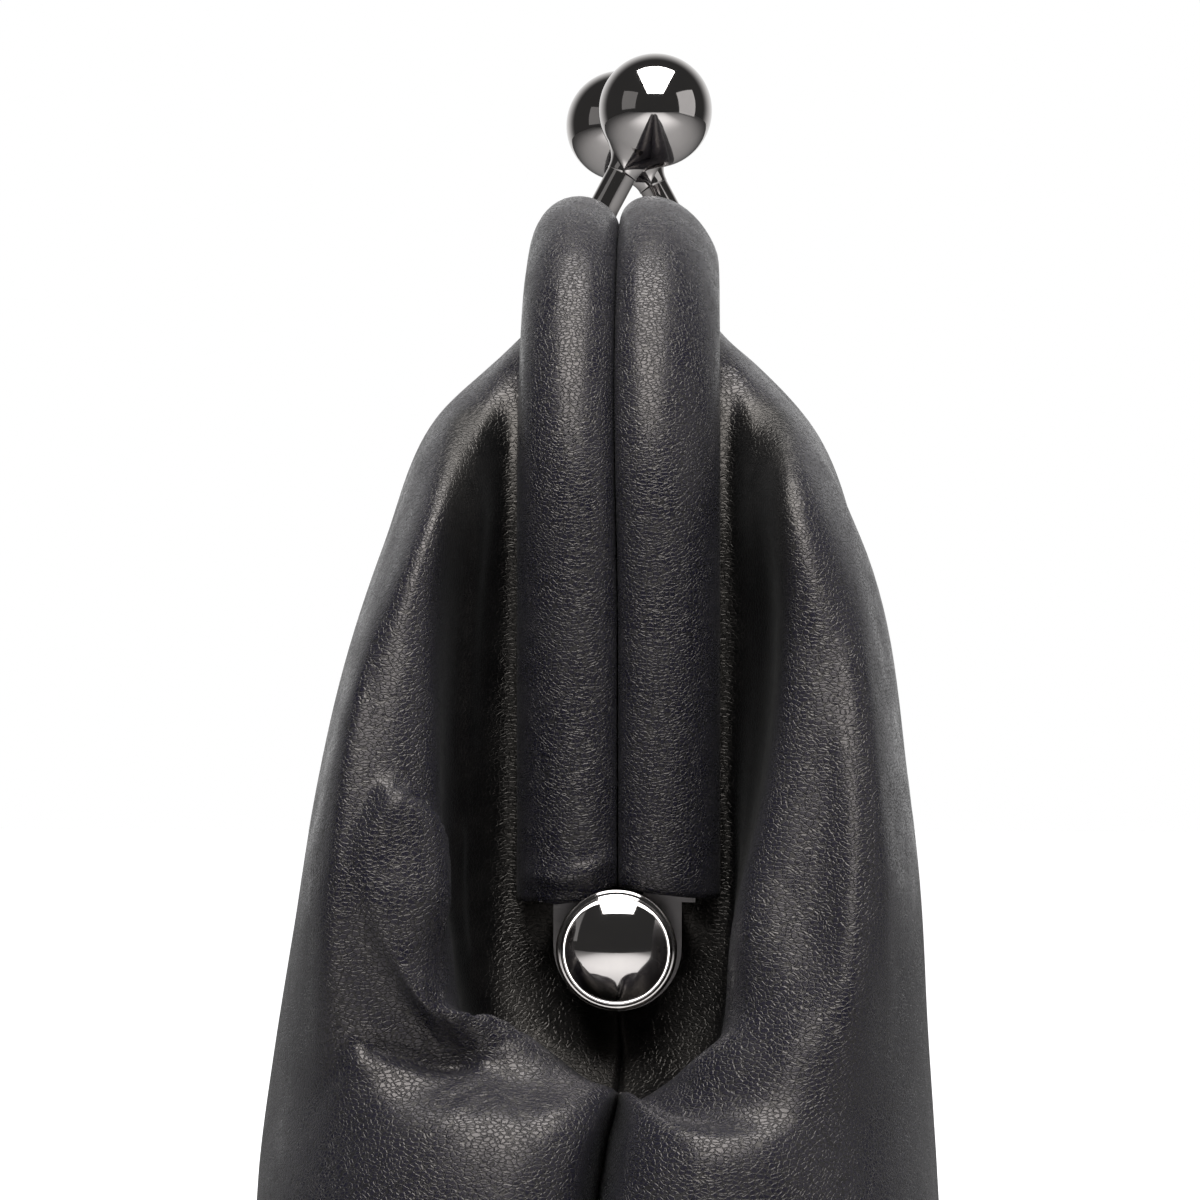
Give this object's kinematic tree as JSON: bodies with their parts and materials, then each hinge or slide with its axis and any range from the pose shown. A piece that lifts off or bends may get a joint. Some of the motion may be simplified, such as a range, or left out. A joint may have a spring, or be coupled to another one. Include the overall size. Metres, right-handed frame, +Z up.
{
  "type": "kiss lock frame purse",
  "caption": "Soft leather clutch purse hung in a padded, leather covered hinged frame that snaps shut with two crossing metal balls.",
  "frame": {"origin": "middle of the flat base the purse stands on", "axes": "+X along the hinge line, +Y from front to rear, +Z up"},
  "size_m": [0.229, 0.063, 0.1871],
  "materials": {
    "pouch_leather": "smooth full grain, satin",
    "sleeve_leather": "smooth full grain, satin, stretched",
    "dark_chrome": "polished dark nickel plate",
    "frame_steel": "pressed sheet, dark nickel plate",
    "rivet_steel": "polished",
    "foam": "fine cell foam strip",
    "paper_cord": "twisted kraft paper",
    "lining_cloth": "matt twill",
    "stiffener": "pressed board"
  },
  "bodies": {
    "pouch": {"left_hinge_pin": "rivet_steel", "left_hinge_washer": "rivet_steel", "left_hinge_cap": "dark_chrome", "right_hinge_pin": "rivet_steel", "right_hinge_washer": "rivet_steel", "right_hinge_cap": "dark_chrome", "front_lower_panel": "pouch_leather", "front_upper_panel": "pouch_leather", "rear_lower_panel": "pouch_leather", "rear_upper_panel": "pouch_leather", "base_panel": "pouch_leather", "base_board": "stiffener", "base_lining": "lining_cloth", "front_lower_lining": "lining_cloth", "front_upper_lining": "lining_cloth", "rear_lower_lining": "lining_cloth", "rear_upper_lining": "lining_cloth", "slip_pocket": "lining_cloth"},
    "front_frame": {"front_frame_channel": "frame_steel", "front_frame_padding": "foam", "front_frame_sleeve": "sleeve_leather", "front_frame_cord": "paper_cord", "front_ball_stem": "dark_chrome", "front_ball": "dark_chrome"},
    "rear_frame": {"rear_frame_channel": "frame_steel", "rear_frame_padding": "foam", "rear_frame_sleeve": "sleeve_leather", "rear_frame_cord": "paper_cord", "rear_ball_stem": "dark_chrome", "rear_ball": "dark_chrome"}
  },
  "joints": [
    {"name": "front_frame_hinge", "type": "hinge", "parent": "pouch", "child": "front_frame", "pos_m": [0, 0, 0.102], "axis": [1, 0, 0], "range_deg": [0, 45], "deforming": ["front_upper_panel", "front_upper_lining"]},
    {"name": "rear_frame_hinge", "type": "hinge", "parent": "pouch", "child": "rear_frame", "pos_m": [0, 0, 0.102], "axis": [1, 0, 0], "range_deg": [-45, 0], "deforming": ["rear_upper_panel", "rear_upper_lining"]}
  ],
  "couplings": [
    {"joint": "rear_frame_hinge", "follows": "front_frame_hinge", "ratio": -1}
  ]
}
